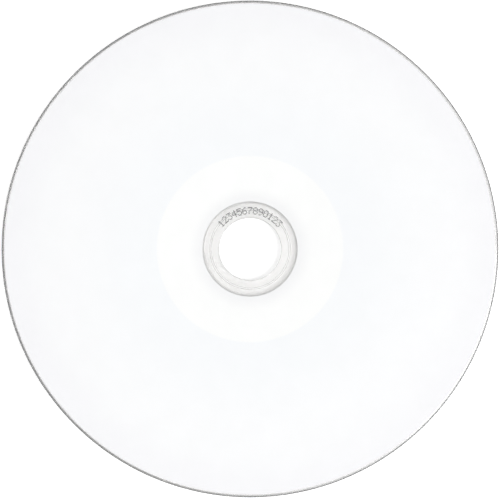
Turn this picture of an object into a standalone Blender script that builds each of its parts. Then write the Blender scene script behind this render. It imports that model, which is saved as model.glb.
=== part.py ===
"""A recordable compact disc with a white printable top.

It is three bonded pieces, each a body of revolution about +Z: one clear moulding, the reflective
layer on its upper face, and the printable coat that covers both. Units are metres. +Z points out of
the printed side. The origin is on the disc's axis, in the plane that the disc lies on, which is the
flat crest of the moulded stacking ring.
"""

import math

import bmesh
import bpy
from mathutils import Vector

# The moulding's outline. The disc's diameter, its hole and its clamping area are standard sizes.
DISC_D = 0.120
HOLE_D = 0.015
MOULDING_T = 0.00115
RIM_BEVEL_W = 0.000565
RIM_BEVEL_H = 0.00062
RIM_BEVEL_R = 0.00005
RIM_PRINT_EDGE_R = 0.00012
HOLE_PRINT_EDGE_R = 0.00010

# The lead-in on the read side, which guides the disc onto the drive's spindle.
LEAD_IN_W = 0.00045
LEAD_IN_H = 0.00028

# The shallow recess round the hole on the read side, which keeps the cut gate's burr off the drive.
# From its floor, the sleeve step goes down to a narrow ledge and the gate step to the read side's face.
GATE_LAND_W = 0.00181
SLEEVE_STEP_W = 0.00008
SLEEVE_STEP_H = 0.00009
GATE_LEDGE_W = 0.00035
GATE_STEP_W = 0.00008
GATE_STEP_H = 0.00009
GATE_STEP_R = 0.00002

# The stacking ring, just outside the clamping area on the read side. It keeps stacked discs apart.
CLAMP_OUTER_D = 0.033
CLAMP_TO_STACK_RING = 0.00020
STACK_RING_H = 0.00020
STACK_RING_FOOT_W = 0.00110
STACK_RING_CREST_W = 0.00050
STACK_RING_CREST_R = 0.00006
STACK_RING_FOOT_R = 0.00014

# The groove on the printed side that stops the lacquer and the ink short of the hub.
STOP_GROOVE_W = 0.00056
STOP_GROOVE_FLOOR_W = 0.00016
STOP_GROOVE_DEPTH = 0.00036
STOP_GROOVE_R = 0.00004
STOP_GROOVE_TO_COAT = 0.00004

# The layers on the printed side.
COAT_INNER_D = 0.0230
COAT_TO_RIM = 0.00070
COAT_T = 0.00005
METAL_INNER_D = 0.0450
METAL_INSIDE_COAT = 0.00055
METAL_T = 0.00001
BOND_GAP = 0.000005

# How finely the round forms are divided, and how much of a side one fillet may take.
TURN_STEPS = 96
FILLET_STEP = math.radians(30)
FILLET_SHARE = 0.49

# Heights that several pieces share.
READ_FACE_Z = STACK_RING_H
GATE_LEDGE_Z = READ_FACE_Z + GATE_STEP_H
GATE_LAND_Z = GATE_LEDGE_Z + SLEEVE_STEP_H
PRINT_FACE_Z = READ_FACE_Z + MOULDING_T
COAT_TOP_Z = PRINT_FACE_Z + COAT_T

# Radii that several pieces share.
DISC_R = DISC_D / 2
HOLE_R = HOLE_D / 2
COAT_INNER_R = COAT_INNER_D / 2
COAT_OUTER_R = DISC_R - COAT_TO_RIM
METAL_INNER_R = METAL_INNER_D / 2
METAL_OUTER_R = COAT_OUTER_R - METAL_INSIDE_COAT


def clear_scene():
    for obj in list(bpy.data.objects):
        bpy.data.objects.remove(obj)


def make_material(name, colour, roughness, metallic=0.0, transmission=0.0):
    material = bpy.data.materials.new(name)
    material.use_nodes = True
    shader = material.node_tree.nodes["Principled BSDF"]
    shader.inputs["Base Color"].default_value = (*colour, 1.0)
    shader.inputs["Roughness"].default_value = roughness
    shader.inputs["Metallic"].default_value = metallic
    shader.inputs["Transmission Weight"].default_value = transmission
    return material


def fillet(corner, before, after, radius):
    """The points of the arc that rounds a corner, which may use up to FILLET_SHARE of each side."""
    back = before - corner
    ahead = after - corner
    half_angle = back.angle(ahead) / 2
    reach = min(radius / math.tan(half_angle), FILLET_SHARE * min(back.length, ahead.length))
    middle = (back.normalized() + ahead.normalized()).normalized()
    centre = corner + middle * (reach / math.cos(half_angle))
    start = corner + back.normalized() * reach - centre
    end = corner + ahead.normalized() * reach - centre
    # angle_signed counts clockwise as positive, and the cosine and sine below run the other way.
    turn = -start.angle_signed(end)
    first = math.atan2(start.y, start.x)
    steps = max(1, math.ceil(abs(turn) / FILLET_STEP))
    directions = [first + turn * i / steps for i in range(steps + 1)]
    return [centre + start.length * Vector((math.cos(a), math.sin(a))) for a in directions]


def rounded_outline(corners):
    """A closed outline from corners of (radius from the axis, height, fillet)."""
    places = [Vector((r, z)) for r, z, _ in corners]
    points = []
    for i, (_, _, radius) in enumerate(corners):
        if radius > 0:
            points += fillet(places[i], places[i - 1], places[(i + 1) % len(places)], radius)
        else:
            points.append(places[i])
    return points


def turned_piece(name, corners, material):
    """One solid, made by turning a closed outline about +Z."""
    bm = bmesh.new()
    outline = [bm.verts.new((p.x, 0.0, p.y)) for p in rounded_outline(corners)]
    sides = [bm.edges.new(ends) for ends in zip(outline, outline[1:] + outline[:1])]
    bmesh.ops.spin(
        bm,
        geom=outline + sides,
        cent=(0.0, 0.0, 0.0),
        axis=(0.0, 0.0, 1.0),
        angle=math.tau,
        steps=TURN_STEPS,
        use_merge=True,
    )
    bmesh.ops.recalc_face_normals(bm, faces=bm.faces)
    mesh = bpy.data.meshes.new(name)
    bm.to_mesh(mesh)
    bm.free()
    mesh.shade_smooth()
    mesh.set_sharp_from_angle(angle=FILLET_STEP)
    mesh.materials.append(material)
    piece = bpy.data.objects.new(name, mesh)
    bpy.context.scene.collection.objects.link(piece)
    return piece


def hole_corners():
    """The hole's wall, from the printed side down to its lead-in on the read side."""
    return [
        (HOLE_R, PRINT_FACE_Z, HOLE_PRINT_EDGE_R),
        (HOLE_R, GATE_LAND_Z + LEAD_IN_H, 0),
        (HOLE_R + LEAD_IN_W, GATE_LAND_Z, 0),
    ]


def gate_recess_corners():
    """The two steps from the floor of the gate recess out to the read side's face."""
    sleeve_step = HOLE_R + GATE_LAND_W
    ledge = sleeve_step + SLEEVE_STEP_W
    gate_step = ledge + GATE_LEDGE_W
    return [
        (sleeve_step, GATE_LAND_Z, GATE_STEP_R),
        (ledge, GATE_LEDGE_Z, GATE_STEP_R),
        (gate_step, GATE_LEDGE_Z, GATE_STEP_R),
        (gate_step + GATE_STEP_W, READ_FACE_Z, GATE_STEP_R),
    ]


def stacking_ring_corners():
    """The raised ring on the read side, whose flat crest the disc lies on."""
    inner = CLAMP_OUTER_D / 2 + CLAMP_TO_STACK_RING
    outer = inner + STACK_RING_FOOT_W
    slope = (STACK_RING_FOOT_W - STACK_RING_CREST_W) / 2
    crest = READ_FACE_Z - STACK_RING_H
    return [
        (inner, READ_FACE_Z, STACK_RING_FOOT_R),
        (inner + slope, crest, STACK_RING_CREST_R),
        (outer - slope, crest, STACK_RING_CREST_R),
        (outer, READ_FACE_Z, STACK_RING_FOOT_R),
    ]


def rim_corners():
    """The rim, bevelled on the read side and nearly sharp on the printed side."""
    return [
        (DISC_R - RIM_BEVEL_W, READ_FACE_Z, RIM_BEVEL_R),
        (DISC_R, READ_FACE_Z + RIM_BEVEL_H, RIM_BEVEL_R),
        (DISC_R, PRINT_FACE_Z, RIM_PRINT_EDGE_R),
    ]


def stop_groove_corners():
    """The groove just inside the coat, from its outer lip to its inner one."""
    outer = COAT_INNER_R - STOP_GROOVE_TO_COAT
    inner = outer - STOP_GROOVE_W
    slope = (STOP_GROOVE_W - STOP_GROOVE_FLOOR_W) / 2
    floor = PRINT_FACE_Z - STOP_GROOVE_DEPTH
    return [
        (outer, PRINT_FACE_Z, STOP_GROOVE_R),
        (outer - slope, floor, STOP_GROOVE_R),
        (inner + slope, floor, STOP_GROOVE_R),
        (inner, PRINT_FACE_Z, STOP_GROOVE_R),
    ]


def clear_disc():
    """The injection-moulded polycarbonate disc, which carries everything else."""
    corners = (
        hole_corners()
        + gate_recess_corners()
        + stacking_ring_corners()
        + rim_corners()
        + stop_groove_corners()
    )
    material = make_material("clear_polycarbonate", (0.93, 0.95, 0.95), 0.04, transmission=1.0)
    return turned_piece("clear_disc", corners, material)


def reflective_layer():
    """The dye and silver film, bonded to the moulding and sealed in by the coat."""
    low = PRINT_FACE_Z + BOND_GAP
    high = low + METAL_T
    corners = [
        (METAL_INNER_R, low, 0),
        (METAL_OUTER_R, low, 0),
        (METAL_OUTER_R, high, 0),
        (METAL_INNER_R, high, 0),
    ]
    material = make_material("silver_film", (0.80, 0.82, 0.84), 0.12, metallic=1.0)
    return turned_piece("reflective_layer", corners, material)


def printable_coat():
    """The white ink coat, whose underside steps up over the reflective layer."""
    low = PRINT_FACE_Z + BOND_GAP
    over_metal = low + METAL_T + BOND_GAP
    step_in = METAL_INNER_R - BOND_GAP
    step_out = METAL_OUTER_R + BOND_GAP
    corners = [
        (COAT_INNER_R, low, 0),
        (step_in, low, 0),
        (step_in, over_metal, 0),
        (step_out, over_metal, 0),
        (step_out, low, 0),
        (COAT_OUTER_R, low, 0),
        (COAT_OUTER_R, COAT_TOP_Z, 0),
        (COAT_INNER_R, COAT_TOP_Z, 0),
    ]
    material = make_material("white_ink", (0.94, 0.95, 0.96), 0.72)
    return turned_piece("printable_coat", corners, material)


def main():
    clear_scene()
    clear_disc()
    reflective_layer()
    printable_coat()


main()
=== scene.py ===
"""Compact disc with a white printable top: its visible pieces, their finishes and the stage.

The file is laid out as a Blender add-on and is run as a script. Units are metres and +Z points out of
the printed side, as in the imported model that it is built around.
"""

import math

import bmesh
import bpy
from bpy.props import FloatProperty, FloatVectorProperty, PointerProperty, StringProperty
from bpy.types import Operator, Panel, PropertyGroup
from mathutils import Matrix, Vector


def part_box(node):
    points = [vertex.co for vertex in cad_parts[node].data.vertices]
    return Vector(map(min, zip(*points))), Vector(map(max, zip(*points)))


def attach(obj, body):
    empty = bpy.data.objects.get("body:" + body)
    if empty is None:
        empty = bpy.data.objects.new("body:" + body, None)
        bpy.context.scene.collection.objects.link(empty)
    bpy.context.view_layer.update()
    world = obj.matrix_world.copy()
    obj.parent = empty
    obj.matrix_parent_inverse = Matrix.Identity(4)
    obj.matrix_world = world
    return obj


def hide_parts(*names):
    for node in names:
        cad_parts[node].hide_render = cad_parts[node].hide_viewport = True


bl_info = {
    "name": "Compact Disc",
    "version": (1, 0, 0),
    "blender": (4, 5, 0),
    "location": "View3D > Sidebar > Compact Disc",
    "description": "Builds a printable compact disc, its finishes and its stage",
    "category": "Object",
}

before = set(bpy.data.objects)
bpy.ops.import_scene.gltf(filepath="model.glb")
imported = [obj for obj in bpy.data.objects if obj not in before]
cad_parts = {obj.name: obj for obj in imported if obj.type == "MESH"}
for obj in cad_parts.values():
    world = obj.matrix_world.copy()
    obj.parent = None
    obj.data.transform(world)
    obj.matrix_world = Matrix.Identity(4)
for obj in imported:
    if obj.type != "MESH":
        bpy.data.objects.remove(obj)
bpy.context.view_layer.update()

MM = 0.001
BODY = "root"

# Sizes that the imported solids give.
DISC_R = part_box("clear_disc")[1].x
PRINT_FACE_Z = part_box("clear_disc")[1].z
COAT_TOP_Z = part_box("printable_coat")[1].z
COAT_OUTER_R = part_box("printable_coat")[1].x
FILM_OUTER_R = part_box("reflective_layer")[1].x


# Settings

def length(name, description, default):
    """A size that the user may change, in metres."""
    return FloatProperty(
        name=name, description=description, default=default, min=0.0, unit="LENGTH", precision=5
    )


def angle(name, description, degrees):
    """An angle that the user may change."""
    return FloatProperty(name=name, description=description, default=math.radians(degrees), subtype="ANGLE")


def colour(name, description, default):
    """A colour that the user may change."""
    return FloatVectorProperty(
        name=name, description=description, default=default, subtype="COLOR", min=0.0, max=1.0
    )


def share(name, description, default):
    """A number from 0 to 1 that the user may change."""
    return FloatProperty(
        name=name, description=description, default=default, subtype="FACTOR", min=0.0, max=1.0
    )


def strength(name, description, default):
    """A strength of light that the user may change."""
    return FloatProperty(name=name, description=description, default=default, min=0.0)


class MouldingSettings(PropertyGroup):
    """Outline and clear plastic of the moulding"""

    hole_radius: length("Hole radius", "Radius of the centre hole", 7.5 * MM)
    edge_radius: length("Edges", "Radius of the rim's, the bevel's and the lead-in's edges", 0.05 * MM)
    ring_height: length("Ring height", "Height of the stacking ring below the read face", 0.2 * MM)
    ring_radius: length("Ring radius", "Radius at the middle of the stacking ring", 17.25 * MM)
    ring_foot_width: length("Ring foot", "Width of the stacking ring at the read face", 1.10 * MM)
    ring_crest_width: length("Ring crest", "Width of the stacking ring's flat crest", 0.50 * MM)
    ring_foot_edge: length("Ring foot edge", "Radius of the edges at its foot", 0.14 * MM)
    ring_crest_edge: length("Ring crest edge", "Radius of the edges at its crest", 0.06 * MM)
    rim_bevel_width: length("Rim bevel width", "Width of the rim's bevel on the read side", 0.565 * MM)
    rim_bevel_height: length("Rim bevel height", "Height of the rim's bevel on the read side", 0.62 * MM)
    rim_edge_radius: length("Rim edge", "Radius of the rim's edge on the printed side", 0.12 * MM)
    hole_edge_radius: length("Hole edge", "Radius of the hole's edge on the printed side", 0.10 * MM)
    lead_in_width: length("Lead-in width", "Width of the hole's lead-in on the read side", 0.45 * MM)
    lead_in_height: length("Lead-in height", "Height of the hole's lead-in on the read side", 0.28 * MM)
    sleeve_step_radius: length("Sleeve step radius", "Radius of the gate recess's inner step", 9.35 * MM)
    gate_step_radius: length("Gate step radius", "Radius of the gate recess's outer step", 9.78 * MM)
    gate_step_width: length("Gate step width", "Width of each of these two steps", 0.08 * MM)
    gate_step_height: length("Gate step height", "Height of each of these two steps", 0.09 * MM)
    gate_step_edge: length("Gate step edge", "Radius of the edges of these two steps", 0.02 * MM)
    groove_outer_radius: length("Groove radius", "Outer radius of the groove inside the coat", 11.46 * MM)
    groove_width: length("Groove width", "Width of that groove at its lips", 0.56 * MM)
    groove_floor_width: length("Groove floor", "Width of that groove's floor", 0.16 * MM)
    groove_depth: length("Groove depth", "Depth of that groove", 0.36 * MM)
    groove_edge: length("Groove edge", "Radius of that groove's edges", 0.04 * MM)
    tint: colour("Tint", "Colour that the clear moulding gives to light", (0.930, 0.927, 0.920))
    # Painted shade: the ledge's darker tint stands for the shade seen on the ring between the two steps.
    ledge_painted_shade: colour("Ledge tint", "Colour of the ledge between the two steps", (0.870, 0.867, 0.861))
    # Painted shade: the groove's darker tint stands for the coat's shadow on that ring, and is not lacquer.
    groove_painted_shade: colour("Groove tint", "Colour of the groove, where lacquer gathers", (0.785, 0.783, 0.776))
    ledge_roughness: share("Ledge roughness", "Roughness of the ledge between the two steps", 0.35)
    groove_roughness: share("Groove roughness", "Roughness of the groove inside the coat", 0.15)


class CoatSettings(PropertyGroup):
    """Seat and tones of the printable coat, with painted shade beside the hub and towards the rim"""

    inner_radius: length("Inner radius", "Inner radius of the printable coat", 11.5 * MM)
    edge_radius: length("Edge", "Radius of the coat's upper edges", 0.03 * MM)
    sink: length("Sink", "How far the coat and the film sit in the moulding's face", 0.002 * MM)
    film_gap: length("Film gap", "Gap between the film's edges and the coat", 0.002 * MM)
    # Painted shade: the coat is darker beside the hub, fading out by the lip's end, for the shadow there.
    lip_painted_shade: colour("Lip colour", "Colour of the coat beside the hub", (0.925, 0.930, 0.935))
    bare_colour: colour("Inner colour", "Colour of the coat with nothing behind it", (0.990, 0.995, 0.990))
    film_colour: colour("Film colour", "Colour of the coat at the film's inner edge", (0.950, 0.966, 0.980))
    field_colour: colour("Field colour", "Colour of the coat's palest ring over it", (0.972, 0.978, 0.986))
    # Painted shade: from the palest ring the coat darkens towards the rim, for the light's falloff there.
    rim_painted_shade: colour("Rim colour", "Colour of the coat beside the rim", (0.946, 0.947, 0.964))
    lip_painted_shade_end: length("Lip end", "Radius at which the lip's colour has faded out", 15.5 * MM)
    field_radius: length("Field radius", "Radius of that palest ring", 47 * MM)
    film_blur: length("Film blur", "Half the width over which the film comes to show", 0.25 * MM)
    mottle: share("Mottle", "How far the coat's tone wanders from its colour", 0.006)
    specular: share("Gloss", "Strength of the matt coat's reflection", 0.3)


class FilmSettings(PropertyGroup):
    """Size and finish of the reflective layer"""

    inner_radius: length("Inner radius", "Inner radius of the reflective layer", 22.5 * MM)
    thickness: length("Thickness", "Thickness of the reflective layer", 0.01 * MM)
    silver: colour("Silver", "Colour of the bare silver film", (0.84, 0.85, 0.86))
    dyed: colour("Dyed", "Colour of the film under the recording dye", (0.70, 0.78, 0.80))
    dye_start: length("Dye start", "Radius at which the recording dye starts", 23.5 * MM)
    dye_margin: length("Dye margin", "How far inside the film's outer edge the dye ends", 0.45 * MM)
    dye_blur: length("Dye blur", "Half the width of the dye's soft edges", 0.1 * MM)
    # Painted reflection: the share of a fixed rainbow that stands for the spiral's diffraction colours.
    painted_rainbow_share: share("Colour play", "Share of the spiral's rainbow colours", 0.10)
    rings: share("Rings", "How far the film's tone wanders from ring to ring", 0.03)
    roughness: share("Roughness", "Roughness of the film", 0.16)
    brushing: share("Brushing", "How far the spiral draws out the film's gloss", 0.6)


class CodeSettings(PropertyGroup):
    """The counting digits on the hub and their ink"""

    digits: StringProperty(
        name="Digits", description="Plain counting digits, dot-printed on the hub", default="1234567890123"
    )
    radius: length("Radius", "Radius of the digits' feet", 8.42 * MM)
    height: length("Height", "Height of a digit", 1.75 * MM)
    width: length("Width", "Width of a digit", 1.15 * MM)
    arc: angle("Arc", "Angle from the first digit to the last", 97)
    dot_radius: length("Dot radius", "Radius of one ink dot", 0.118 * MM)
    dot_height: length("Dot height", "Height of one ink dot", 0.012 * MM)
    ink: colour("Ink", "Colour of the ink", (0.03, 0.03, 0.035))


class StageSettings(PropertyGroup):
    """Camera, floor, lights and screen"""

    camera_height: length("Camera height", "Height of the camera over the disc", 1.0)
    view_width: length("View width", "Width of what the camera shows", 120.79 * MM)
    floor_size: length("Floor size", "Side of the square floor", 3.0)
    floor_colour: colour("Floor", "Colour of the paper floor", (0.85, 0.85, 0.85))
    # Painted shade: less glow where the floor is seen under the disc darkens it there.
    glow_under_painted_shade: strength("Glow under", "White added to the floor where it is seen under the disc", 0.38)
    # Painted light: more glow beside the disc lightens the disc's shadow there.
    glow_beside_painted_light: strength("Glow beside", "White added to the floor where it is seen beside it", 0.55)
    glow_blur: length("Glow blur", "Half the width of the blend between these two, at the rim", 0.4 * MM)
    # Painted light: the floor fades to white far from the disc, over the low screen's shadow.
    painted_light_fade_start: length("Fade start", "Distance at which the floor starts to fade to white", 0.25)
    painted_light_fade_end: length("Fade end", "Distance at which the floor has faded to white", 0.40)
    sky: strength("Soft light", "Strength of the even studio light", 0.57)
    lamp_brightness: strength("Lamp", "Brightness of the softbox's face", 5.04)
    lamp_size: length("Lamp size", "Side of the square softbox", 1.65)
    lamp_distance: length("Lamp distance", "Distance of the softbox from the disc", 2.6)
    lamp_height: angle("Lamp height", "Angle of the softbox above the floor", 50)
    lamp_side: angle("Lamp side", "Direction of the softbox round the disc, from the right", -25)
    screen_radius: length("Screen radius", "Radius of the low grey screen round the disc", 0.45)
    screen_height: length("Screen height", "Height of that screen", 0.22)
    screen_side: angle("Screen side", "Direction of the screen's darkest side, from the right", 10)
    screen_dark: colour("Screen dark", "Colour of its darkest side", (0.50, 0.50, 0.50))
    screen_light: colour("Screen light", "Colour of its lightest side", (0.84, 0.84, 0.84))


class DiscSettings(PropertyGroup):
    """All settings of the disc and its stage"""

    moulding: PointerProperty(name="Moulding", description="The clear moulding", type=MouldingSettings)
    coat: PointerProperty(name="Coat", description="The printable coat", type=CoatSettings)
    film: PointerProperty(name="Film", description="The reflective layer", type=FilmSettings)
    code: PointerProperty(name="Code", description="The digits on the hub", type=CodeSettings)
    stage: PointerProperty(name="Stage", description="Camera, floor and lights", type=StageSettings)


# Turned shapes

# How finely round forms are divided, what share of a side one fillet may take, and the angle from
# which an edge is sharp.
TURN_STEPS = 384
FILLET_STEP = math.radians(9)
FILLET_SHARE = 0.49
SHARP_ANGLE = math.radians(24)


def fillet(corner, before, after, radius):
    """The points of the arc that rounds a corner, which may use up to FILLET_SHARE of each side."""
    back = before - corner
    ahead = after - corner
    half_angle = back.angle(ahead) / 2
    reach = min(radius / math.tan(half_angle), FILLET_SHARE * min(back.length, ahead.length))
    middle = (back.normalized() + ahead.normalized()).normalized()
    centre = corner + middle * (reach / math.cos(half_angle))
    start = corner + back.normalized() * reach - centre
    end = corner + ahead.normalized() * reach - centre
    # angle_signed counts clockwise as positive, and the cosine and sine below run the other way.
    turn = -start.angle_signed(end)
    first = math.atan2(start.y, start.x)
    steps = max(1, math.ceil(abs(turn) / FILLET_STEP))
    directions = [first + turn * i / steps for i in range(steps + 1)]
    return [centre + start.length * Vector((math.cos(a), math.sin(a))) for a in directions]


def rounded_outline(corners):
    """A closed outline from corners of (radius from the axis, height, fillet)."""
    places = [Vector((r, z)) for r, z, _ in corners]
    points = []
    for i, (_, _, radius) in enumerate(corners):
        if radius > 0:
            points += fillet(places[i], places[i - 1], places[(i + 1) % len(places)], radius)
        else:
            points.append(places[i])
    return points


def add_piece(name, bm, material):
    """Makes a smooth piece of the disc from bm, and ties it to the frame."""
    bmesh.ops.recalc_face_normals(bm, faces=bm.faces)
    mesh = bpy.data.meshes.new(name)
    bm.to_mesh(mesh)
    bm.free()
    mesh.shade_smooth()
    mesh.set_sharp_from_angle(angle=SHARP_ANGLE)
    mesh.materials.append(material)
    piece = bpy.data.objects.new(name, mesh)
    bpy.context.scene.collection.objects.link(piece)
    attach(piece, BODY)
    return piece


def turned_piece(name, corners, material):
    """A piece made by turning a closed outline about +Z."""
    bm = bmesh.new()
    outline = [bm.verts.new((p.x, 0.0, p.y)) for p in rounded_outline(corners)]
    sides = [bm.edges.new(ends) for ends in zip(outline, outline[1:] + outline[:1])]
    bmesh.ops.spin(
        bm,
        geom=outline + sides,
        cent=(0.0, 0.0, 0.0),
        axis=(0.0, 0.0, 1.0),
        angle=math.tau,
        steps=TURN_STEPS,
        use_merge=True,
    )
    return add_piece(name, bm, material)


# Material helpers

class Nodes:
    """The nodes of a new material or world, which are added and joined by short calls."""

    def __init__(self, owner):
        owner.use_nodes = True
        self.owner = owner
        self.tree = owner.node_tree
        self.shader = self.tree.nodes.get("Principled BSDF") or self.tree.nodes["Background"]

    def add(self, kind, **values):
        """Adds a node. A value named as a property sets it, and any other sets the input of that name."""
        node = self.tree.nodes.new(kind)
        for name, value in values.items():
            if hasattr(node, name):
                setattr(node, name, value)
            else:
                node.inputs[name.replace("_", " ")].default_value = value
        return node

    def join(self, source, target):
        """Links an output to an input."""
        self.tree.links.new(source, target)

    def math(self, operation, first, second=0.0, third=0.0):
        """The output of a Math node whose inputs are numbers or other outputs."""
        node = self.add("ShaderNodeMath", operation=operation)
        for socket, value in zip(node.inputs, (first, second, third)):
            if isinstance(value, (int, float)):
                socket.default_value = value
            else:
                self.join(value, socket)
        return node.outputs[0]

    def place(self):
        """Places on the disc, in metres from its origin."""
        return self.add("ShaderNodeTexCoord").outputs["Object"]

    def axes(self, place):
        """The three coordinates of a place, in metres."""
        split = self.add("ShaderNodeSeparateXYZ")
        self.join(place, split.inputs[0])
        return split.outputs

    def height(self, place):
        """Height over the plane that the disc lies on, in metres."""
        return self.axes(place)["Z"]

    def radius(self, place):
        """Distance from the disc's axis, in metres."""
        axes = self.axes(place)
        squares = [self.math("MULTIPLY", axes[i], axes[i]) for i in (0, 1)]
        return self.math("SQRT", self.math("ADD", *squares))

    def between(self, value, low, high):
        """1 where value is between low and high, and 0 elsewhere."""
        past_low = self.math("GREATER_THAN", value, low)
        return self.math("MULTIPLY", past_low, self.math("LESS_THAN", value, high))

    def noise(self, place, size, detail, roughness=0.5):
        """Noise whose lumps are about size across, in metres."""
        node = self.add("ShaderNodeTexNoise", Scale=1.0 / size, Detail=detail, Roughness=roughness)
        self.join(place, node.inputs["Vector"])
        return node.outputs["Fac"]

    def spread(self, value, low, high, start=0.0, end=1.0):
        """value from start..end, mapped to low..high."""
        node = self.add("ShaderNodeMapRange")
        for name, number in zip(("From Min", "From Max", "To Min", "To Max"), (start, end, low, high)):
            node.inputs[name].default_value = number
        self.join(value, node.inputs["Value"])
        return node.outputs[0]

    def ramp(self, value, stops):
        """Colours along value, from (position, colour) stops."""
        node = self.add("ShaderNodeValToRGB")
        band = node.color_ramp
        band.interpolation = "EASE"
        while len(band.elements) < len(stops):
            band.elements.new(0.5)
        for element, (position, rgb) in zip(band.elements, stops):
            element.position = position
            element.color = (*rgb, 1.0)
        self.join(value, node.inputs[0])
        return node.outputs[0]

    def blend(self, first, second, amount, kind="MIX"):
        """The first colour, blended with an amount of the second from 0 to 1."""
        node = self.add("ShaderNodeMix", data_type="RGBA", blend_type=kind)
        node.inputs["Factor"].default_value = amount
        # This node has sockets of the same names for each kind of data, and these are the colour ones.
        first_colour, second_colour, result = node.inputs[6], node.inputs[7], node.outputs[2]
        self.join(first, first_colour)
        self.join(second, second_colour)
        return result

    def bump(self, height, distance):
        """A normal from a height of 0 to 1, which stands for distance in metres."""
        node = self.add("ShaderNodeBump", Distance=distance)
        self.join(height, node.inputs["Height"])
        return node.outputs[0]


POLYCARBONATE_IOR = 1.585

# Nearly all values of a noise texture lie in this range.
NOISE_RANGE = {"start": 0.3, "end": 0.7}


def clear_polycarbonate(s):
    """Polished clear plastic with a faint ripple, matt on the recess's ledge and hazy in the groove, with
    painted shade in the ledge's and the groove's darker tints.
    """
    m = Nodes(bpy.data.materials.new("clear_polycarbonate"))
    place = m.place()
    radius = m.radius(place)
    read_side = m.math("LESS_THAN", m.height(place), PRINT_FACE_Z / 2)
    print_side = m.math("SUBTRACT", 1.0, read_side)
    ledge_ring = m.between(radius, s.sleeve_step_radius, s.gate_step_radius)
    ledge = m.math("MULTIPLY", ledge_ring, read_side)
    groove_ring = m.between(radius, s.groove_outer_radius - s.groove_width, s.groove_outer_radius)
    groove = m.math("MULTIPLY", groove_ring, print_side)

    rough_groove = m.math("MULTIPLY", groove, s.groove_roughness)
    m.join(m.math("MULTIPLY_ADD", ledge, s.ledge_roughness, rough_groove), m.shader.inputs["Roughness"])
    # The ledge is at 0.5 on this scale and the groove at 1.
    painted_shade_zone = m.math("MULTIPLY_ADD", ledge, 0.5, groove)
    # Painted shade: the ledge's and the groove's darker tints stand for the shade seen on these two rings.
    tone = m.ramp(painted_shade_zone, [(0.0, s.tint), (0.5, s.ledge_painted_shade), (1.0, s.groove_painted_shade)])
    m.join(tone, m.shader.inputs["Base Color"])
    m.shader.inputs["IOR"].default_value = POLYCARBONATE_IOR
    m.shader.inputs["Transmission Weight"].default_value = 1.0
    ripple = m.noise(place, size=2.4 * MM, detail=1.0)
    m.join(m.bump(ripple, distance=0.0006 * MM), m.shader.inputs["Normal"])
    return m.owner


def white_ink(coat, film_inner, outer):
    """Matt white ink coat: its tone by radius, with painted shade beside the hub and towards the rim, a
    fine grain and a faint mottle.
    """
    m = Nodes(bpy.data.materials.new("white_ink"))
    place = m.place()
    radius = m.radius(place)
    mottle = m.noise(place, size=6.0 * MM, detail=3.0)
    reach = m.math("DIVIDE", radius, outer)
    # Painted shade: the lip's and the rim's colours darken the coat beside the hub and towards the rim.
    stops = [
        (coat.inner_radius / outer, coat.lip_painted_shade),
        (coat.lip_painted_shade_end / outer, coat.bare_colour),
        ((film_inner - coat.film_blur) / outer, coat.bare_colour),
        ((film_inner + coat.film_blur) / outer, coat.film_colour),
        (coat.field_radius / outer, coat.field_colour),
        (1.0, coat.rim_painted_shade),
    ]
    tone = m.ramp(reach, stops)
    unevenness = m.spread(mottle, low=1 - coat.mottle, high=1 + coat.mottle, start=0.35, end=0.65)
    m.join(m.blend(tone, unevenness, 1.0, "MULTIPLY"), m.shader.inputs["Base Color"])
    grain = m.noise(place, size=0.16 * MM, detail=3.0, roughness=0.6)
    m.join(m.spread(grain, low=0.58, high=0.74, **NOISE_RANGE), m.shader.inputs["Roughness"])
    m.shader.inputs["Specular IOR Level"].default_value = coat.specular
    m.join(m.bump(grain, distance=0.006 * MM), m.shader.inputs["Normal"])
    return m.owner


# A painted rainbow reflection: fixed colours that stand for the spiral's diffraction, along a turn from one
# pale sector to the next.
PAINTED_RAINBOW = (
    (0.00, (0.80, 0.80, 0.82)),
    (0.22, (0.55, 0.42, 0.90)),
    (0.36, (0.30, 0.60, 0.95)),
    (0.50, (0.35, 0.85, 0.50)),
    (0.64, (0.95, 0.88, 0.35)),
    (0.78, (0.95, 0.50, 0.35)),
    (1.00, (0.80, 0.80, 0.82)),
)
PAINTED_RAINBOW_SECTORS = 4


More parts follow.
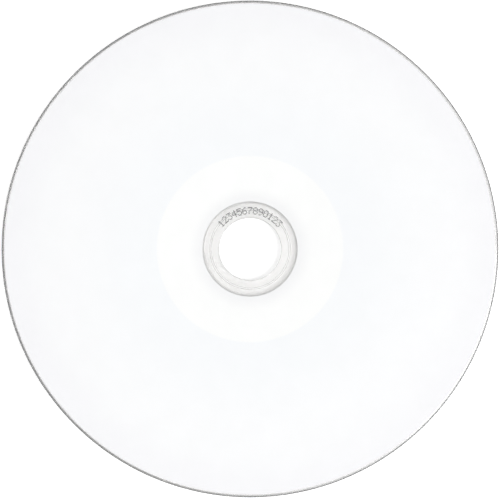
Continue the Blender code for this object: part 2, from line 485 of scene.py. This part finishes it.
def silver_film(film, outer):
    """Silver film under dye, seen through the moulding: brushed round by its spiral, in faint rings, with a
    painted rainbow reflection fixed round it.
    """
    m = Nodes(bpy.data.materials.new("silver_film"))
    place = m.place()
    radius = m.radius(place)
    dye_end = outer - film.dye_margin
    stops = [
        ((film.dye_start - film.dye_blur) / outer, film.silver),
        ((film.dye_start + film.dye_blur) / outer, film.dyed),
        ((dye_end - film.dye_blur) / outer, film.dyed),
        ((dye_end + film.dye_blur) / outer, film.silver),
    ]
    tone = m.ramp(m.math("DIVIDE", radius, outer), stops)

    # Painted reflection: rainbow sectors fixed round the disc stand for the spiral's diffraction colours.
    turn = m.add("ShaderNodeTexGradient", gradient_type="RADIAL")
    m.join(place, turn.inputs["Vector"])
    sector = m.math("FRACT", m.math("MULTIPLY", turn.outputs["Fac"], PAINTED_RAINBOW_SECTORS))
    with_painted_rainbow = m.blend(tone, m.ramp(sector, PAINTED_RAINBOW), film.painted_rainbow_share)

    along = m.add("ShaderNodeCombineXYZ")
    m.join(radius, along.inputs["X"])
    rings = m.noise(along.outputs[0], size=0.5 * MM, detail=3.0)
    unevenness = m.spread(rings, low=1 - film.rings, high=1 + film.rings, **NOISE_RANGE)
    m.join(m.blend(with_painted_rainbow, unevenness, 1.0, "MULTIPLY"), m.shader.inputs["Base Color"])
    m.join(m.bump(rings, distance=0.002 * MM), m.shader.inputs["Normal"])

    around = m.add("ShaderNodeTangent", direction_type="RADIAL", axis="Z")
    m.join(around.outputs[0], m.shader.inputs["Tangent"])
    m.shader.inputs["Anisotropic"].default_value = film.brushing
    m.shader.inputs["Metallic"].default_value = 1.0
    m.shader.inputs["Roughness"].default_value = film.roughness
    return m.owner


# How much lighter the ink is where it dried thin.
THIN_INK = 1.8


def hub_ink(ink):
    """Dark dot-print ink, matt and a little uneven."""
    m = Nodes(bpy.data.materials.new("hub_code_ink"))
    place = m.place()
    wet = m.noise(place, size=0.12 * MM, detail=2.0)
    thin_ink = tuple(min(1.0, c * THIN_INK) for c in ink)
    m.join(m.ramp(wet, [(0.35, ink), (0.65, thin_ink)]), m.shader.inputs["Base Color"])
    m.join(m.spread(wet, low=0.35, high=0.6, **NOISE_RANGE), m.shader.inputs["Roughness"])
    m.join(m.bump(wet, distance=0.003 * MM), m.shader.inputs["Normal"])
    return m.owner


# Pieces

def moulding_corners(s):
    """The clear moulding's outline, from the hole's printed edge down, out and back."""
    # Heights of the read side's face, the recess's ledge and its floor.
    read = s.ring_height
    ledge = read + s.gate_step_height
    recess = ledge + s.gate_step_height
    hole = [
        (s.hole_radius, PRINT_FACE_Z, s.hole_edge_radius),
        (s.hole_radius, recess + s.lead_in_height, s.edge_radius),
        (s.hole_radius + s.lead_in_width, recess, s.edge_radius),
    ]
    half_step = s.gate_step_width / 2
    gate = [
        (s.sleeve_step_radius - half_step, recess, s.gate_step_edge),
        (s.sleeve_step_radius + half_step, ledge, s.gate_step_edge),
        (s.gate_step_radius - half_step, ledge, s.gate_step_edge),
        (s.gate_step_radius + half_step, read, s.gate_step_edge),
    ]
    foot = s.ring_foot_width / 2
    crest = s.ring_crest_width / 2
    ring = [
        (s.ring_radius - foot, read, s.ring_foot_edge),
        (s.ring_radius - crest, 0.0, s.ring_crest_edge),
        (s.ring_radius + crest, 0.0, s.ring_crest_edge),
        (s.ring_radius + foot, read, s.ring_foot_edge),
    ]
    rim = [
        (DISC_R - s.rim_bevel_width, read, s.edge_radius),
        (DISC_R, read + s.rim_bevel_height, s.edge_radius),
        (DISC_R, PRINT_FACE_Z, s.rim_edge_radius),
    ]
    slope = (s.groove_width - s.groove_floor_width) / 2
    inner = s.groove_outer_radius - s.groove_width
    floor = PRINT_FACE_Z - s.groove_depth
    groove = [
        (s.groove_outer_radius, PRINT_FACE_Z, s.groove_edge),
        (s.groove_outer_radius - slope, floor, s.groove_edge),
        (inner + slope, floor, s.groove_edge),
        (inner, PRINT_FACE_Z, s.groove_edge),
    ]
    return hole + gate + ring + rim + groove


class COMPACT_DISC_OT_moulding(Operator):
    """Makes the clear polycarbonate moulding"""

    bl_idname = "compact_disc.moulding"
    bl_label = "Clear Moulding"
    bl_options = {"REGISTER", "UNDO"}

    def execute(self, context):
        s = context.scene.compact_disc.moulding
        piece = turned_piece("moulding", moulding_corners(s), clear_polycarbonate(s))
        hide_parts("clear_disc")
        return {"FINISHED"}


class COMPACT_DISC_OT_film(Operator):
    """Makes the silver reflective layer on the moulding's upper face"""

    bl_idname = "compact_disc.film"
    bl_label = "Reflective Layer"
    bl_options = {"REGISTER", "UNDO"}

    def execute(self, context):
        s = context.scene.compact_disc.film
        low = PRINT_FACE_Z - context.scene.compact_disc.coat.sink
        high = low + s.thickness
        corners = [
            (s.inner_radius, low, 0),
            (FILM_OUTER_R, low, 0),
            (FILM_OUTER_R, high, 0),
            (s.inner_radius, high, 0),
        ]
        piece = turned_piece("silver_layer", corners, silver_film(s, FILM_OUTER_R))
        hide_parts("reflective_layer")
        return {"FINISHED"}


class COMPACT_DISC_OT_coat(Operator):
    """Makes the white printable coat, which covers the reflective layer"""

    bl_idname = "compact_disc.coat"
    bl_label = "Printable Coat"
    bl_options = {"REGISTER", "UNDO"}

    def execute(self, context):
        disc = context.scene.compact_disc
        s = disc.coat
        low = PRINT_FACE_Z - s.sink
        over_film = low + disc.film.thickness + s.sink
        corners = [
            (s.inner_radius, low, 0),
            (disc.film.inner_radius - s.film_gap, low, 0),
            (disc.film.inner_radius - s.film_gap, over_film, 0),
            (FILM_OUTER_R + s.film_gap, over_film, 0),
            (FILM_OUTER_R + s.film_gap, low, 0),
            (COAT_OUTER_R, low, 0),
            (COAT_OUTER_R, COAT_TOP_Z, s.edge_radius),
            (s.inner_radius, COAT_TOP_Z, s.edge_radius),
        ]
        material = white_ink(s, disc.film.inner_radius, COAT_OUTER_R)
        piece = turned_piece("ink_coat", corners, material)
        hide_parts("printable_coat")
        return {"FINISHED"}


# Each digit as seven rows of five places, where 1 is an ink dot.
DOT_DIGITS = {
    "0": ("01110", "10001", "10001", "10001", "10001", "10001", "01110"),
    "1": ("00100", "01100", "00100", "00100", "00100", "00100", "01110"),
    "2": ("01110", "10001", "00001", "00010", "00100", "01000", "11111"),
    "3": ("11111", "00010", "00100", "00010", "00001", "10001", "01110"),
    "4": ("00010", "00110", "01010", "10010", "11111", "00010", "00010"),
    "5": ("11111", "10000", "11110", "00001", "00001", "10001", "01110"),
    "6": ("00110", "01000", "10000", "11110", "10001", "10001", "01110"),
    "7": ("11111", "00001", "00010", "00100", "01000", "01000", "01000"),
    "8": ("01110", "10001", "10001", "01110", "10001", "10001", "01110"),
    "9": ("01110", "10001", "10001", "01111", "00001", "00010", "01100"),
}
DOT_ROWS = 7
DOT_COLUMNS = 5
DOT_SIDES = 12

# The dome's shoulder, in shares of the dot's radius and height.
DOT_SHOULDER_REACH = 0.72
DOT_SHOULDER_HEIGHT = 0.8


def ink_dot(bm, place, radius, height):
    """A low domed dot whose flat underside is at place."""
    turns = [math.tau * i / DOT_SIDES for i in range(DOT_SIDES)]
    around = [Vector((math.cos(a), math.sin(a), 0.0)) * radius for a in turns]
    lift = Vector((0.0, 0.0, height))
    foot = [bm.verts.new(place + d) for d in around]
    shoulder = [bm.verts.new(place + d * DOT_SHOULDER_REACH + lift * DOT_SHOULDER_HEIGHT) for d in around]
    top = bm.verts.new(place + lift)
    bm.faces.new(reversed(foot))
    for i in range(DOT_SIDES):
        j = (i + 1) % DOT_SIDES
        bm.faces.new((foot[i], foot[j], shoulder[j], shoulder[i]))
        bm.faces.new((shoulder[i], shoulder[j], top))


def dot_places(s, digit):
    """The places of one digit's dots, for a digit that stands at the top of the hub."""
    across = s.width - 2 * s.dot_radius
    down = s.height - 2 * s.dot_radius
    top = s.radius + s.height - s.dot_radius
    return [
        Vector((
            (column / (DOT_COLUMNS - 1) - 0.5) * across,
            top - row / (DOT_ROWS - 1) * down,
            PRINT_FACE_Z,
        ))
        for row, places in enumerate(DOT_DIGITS[digit])
        for column, inked in enumerate(places)
        if inked == "1"
    ]


class COMPACT_DISC_OT_code(Operator):
    """Prints plain counting digits in dots on the clear hub"""

    bl_idname = "compact_disc.code"
    bl_label = "Hub Digits"
    bl_options = {"REGISTER", "UNDO"}

    def execute(self, context):
        s = context.scene.compact_disc.code
        bm = bmesh.new()
        gaps = max(1, len(s.digits) - 1)
        for i, digit in enumerate(s.digits):
            if digit not in DOT_DIGITS:
                raise ValueError(f"{digit!r} isn't a digit")
            turn = Matrix.Rotation((0.5 - i / gaps) * s.arc, 3, "Z")
            for place in dot_places(s, digit):
                ink_dot(bm, turn @ place, s.dot_radius, s.dot_height)
        add_piece("hub_digits", bm, hub_ink(s.ink))
        return {"FINISHED"}


# The stage

def is_seen(m):
    """1 for a ray from the camera or a clear or shiny surface, and 0 for one that only brings light."""
    path = m.add("ShaderNodeLightPath")
    seen = m.math("MAXIMUM", path.outputs["Is Camera Ray"], path.outputs["Is Glossy Ray"])
    return m.math("MAXIMUM", seen, path.outputs["Is Transmission Ray"])


def seen_as_white(m, surface, glow):
    """Adds a white glow to surface where it is seen."""
    light = m.add("ShaderNodeEmission")
    m.join(m.math("MULTIPLY", is_seen(m), glow), light.inputs["Strength"])
    both = m.add("ShaderNodeAddShader")
    m.join(surface, both.inputs[0])
    m.join(light.outputs[0], both.inputs[1])
    return both.outputs[0]


def stage_panel(name, corners, faces, material):
    """A sheet that belongs to the stage."""
    mesh = bpy.data.meshes.new(name)
    mesh.from_pydata(corners, [], faces)
    mesh.materials.append(material)
    panel = bpy.data.objects.new(name, mesh)
    bpy.context.scene.collection.objects.link(panel)
    return panel


def paper_floor(s):
    """Matt pale paper with a white glow where it is seen: less under the disc, which is painted shade, more
    beside it, which is painted light over the disc's shadow, and a painted fade to white far from it.
    """
    m = Nodes(bpy.data.materials.new("paper_floor"))
    m.shader.inputs["Base Color"].default_value = (*s.floor_colour, 1.0)
    m.shader.inputs["Roughness"].default_value = 1.0
    m.shader.inputs["Specular IOR Level"].default_value = 0.0
    distance = m.radius(m.place())
    under = DISC_R - s.glow_blur
    beside = DISC_R + s.glow_blur
    # Painted shade under the disc and painted light beside it, then a painted fade to white far from it.
    painted_glow_near = m.spread(distance, low=s.glow_under_painted_shade, high=s.glow_beside_painted_light, start=under, end=beside)
    painted_glow_far = m.spread(distance, low=0.0, high=1.0 - s.glow_beside_painted_light, start=s.painted_light_fade_start, end=s.painted_light_fade_end)
    glow = m.math("ADD", painted_glow_near, painted_glow_far)
    end = m.tree.nodes["Material Output"].inputs["Surface"]
    m.join(seen_as_white(m, m.shader.outputs[0], glow), end)
    return m.owner


def white_studio(s):
    """Even light all round, and a white backdrop where it is seen."""
    m = Nodes(bpy.data.worlds.new("white_studio"))
    m.shader.inputs["Color"].default_value = (1.0, 1.0, 1.0, 1.0)
    m.join(m.spread(is_seen(m), low=s.sky, high=1.0), m.shader.inputs["Strength"])
    return m.owner


def softbox(s):
    """The large lamp on the lower right."""
    data = bpy.data.lights.new("softbox", "AREA")
    data.size = s.lamp_size
    # The energy grows with the face's area, so that a lamp of another size looks as bright.
    data.energy = s.lamp_brightness * math.pi * s.lamp_size**2
    lamp = bpy.data.objects.new("softbox", data)
    bpy.context.scene.collection.objects.link(lamp)
    flat = math.cos(s.lamp_height)
    towards = Vector((flat * math.cos(s.lamp_side), flat * math.sin(s.lamp_side), math.sin(s.lamp_height)))
    lamp.location = towards * s.lamp_distance
    lamp.rotation_euler = towards.to_track_quat("Z", "Y").to_euler()
    lamp.visible_camera = False


def grey_screen(s):
    """Matt paper that is dark on one side of the disc and light on the other."""
    m = Nodes(bpy.data.materials.new("grey_screen"))
    axes = m.axes(m.place())
    across = m.math("MULTIPLY", axes["X"], math.cos(s.screen_side))
    toward = m.math("ADD", across, m.math("MULTIPLY", axes["Y"], math.sin(s.screen_side)))
    reach = m.spread(toward, low=0.0, high=1.0, start=-s.screen_radius, end=s.screen_radius)
    tone = m.ramp(reach, [(0.0, s.screen_light), (1.0, s.screen_dark)])
    m.join(tone, m.shader.inputs["Base Color"])
    m.shader.inputs["Roughness"].default_value = 1.0
    m.shader.inputs["Specular IOR Level"].default_value = 0.0
    return m.owner


SCREEN_SIDES = 72


def low_screen(s):
    """A low ring that the camera doesn't see, which gives the disc's clear edges their lines."""
    turns = [math.tau * i / SCREEN_SIDES for i in range(SCREEN_SIDES)]
    ring = [(s.screen_radius * math.cos(a), s.screen_radius * math.sin(a)) for a in turns]
    corners = [(x, y, z) for z in (0.0, s.screen_height) for x, y in ring]
    sides = [(i, (i + 1) % SCREEN_SIDES) for i in range(SCREEN_SIDES)]
    faces = [(i, j, j + SCREEN_SIDES, i + SCREEN_SIDES) for i, j in sides]
    screen = stage_panel("low_screen", corners, faces, grey_screen(s))
    screen.visible_camera = False


class COMPACT_DISC_OT_stage(Operator):
    """Makes the pale floor, the soft studio light, the low screen and the camera"""

    bl_idname = "compact_disc.stage"
    bl_label = "Stage"
    bl_options = {"REGISTER", "UNDO"}

    def execute(self, context):
        s = context.scene.compact_disc.stage
        half = s.floor_size / 2
        square = [(-half, -half, 0), (half, -half, 0), (half, half, 0), (-half, half, 0)]
        stage_panel("floor", square, [range(4)], paper_floor(s))
        low_screen(s)
        context.scene.world = white_studio(s)
        softbox(s)

        lens = bpy.data.cameras.new("camera")
        camera = bpy.data.objects.new("camera", lens)
        context.scene.collection.objects.link(camera)
        camera.location = (0.0, 0.0, s.camera_height + COAT_TOP_Z)
        lens.lens = lens.sensor_width * s.camera_height / s.view_width
        context.scene.camera = camera
        context.scene.view_settings.view_transform = "Standard"
        return {"FINISHED"}


# Each operator, under the name of its own group of settings.
OPERATORS = {
    "moulding": COMPACT_DISC_OT_moulding,
    "film": COMPACT_DISC_OT_film,
    "coat": COMPACT_DISC_OT_coat,
    "code": COMPACT_DISC_OT_code,
    "stage": COMPACT_DISC_OT_stage,
}


class COMPACT_DISC_PT_pieces(Panel):
    """Lists the operators that build the disc, each with its settings"""

    bl_idname = "COMPACT_DISC_PT_pieces"
    bl_label = "Compact Disc"
    bl_space_type = "VIEW_3D"
    bl_region_type = "UI"
    bl_category = "Compact Disc"

    def draw(self, context):
        for group, operator in OPERATORS.items():
            box = self.layout.box()
            box.operator(operator.bl_idname)
            settings = getattr(context.scene.compact_disc, group)
            for name in settings.__annotations__:
                box.prop(settings, name)


CLASSES = (
    MouldingSettings,
    CoatSettings,
    FilmSettings,
    CodeSettings,
    StageSettings,
    DiscSettings,
    *OPERATORS.values(),
    COMPACT_DISC_PT_pieces,
)


def register():
    for cls in CLASSES:
        bpy.utils.register_class(cls)
    bpy.types.Scene.compact_disc = PointerProperty(
        name="Compact Disc", description="Settings of the disc and its stage", type=DiscSettings
    )


def unregister():
    del bpy.types.Scene.compact_disc
    for cls in reversed(CLASSES):
        bpy.utils.unregister_class(cls)


def main():
    register()
    bpy.ops.compact_disc.moulding()
    bpy.ops.compact_disc.film()
    bpy.ops.compact_disc.coat()
    bpy.ops.compact_disc.code()
    bpy.ops.compact_disc.stage()


if __name__ == "__main__":
    main()
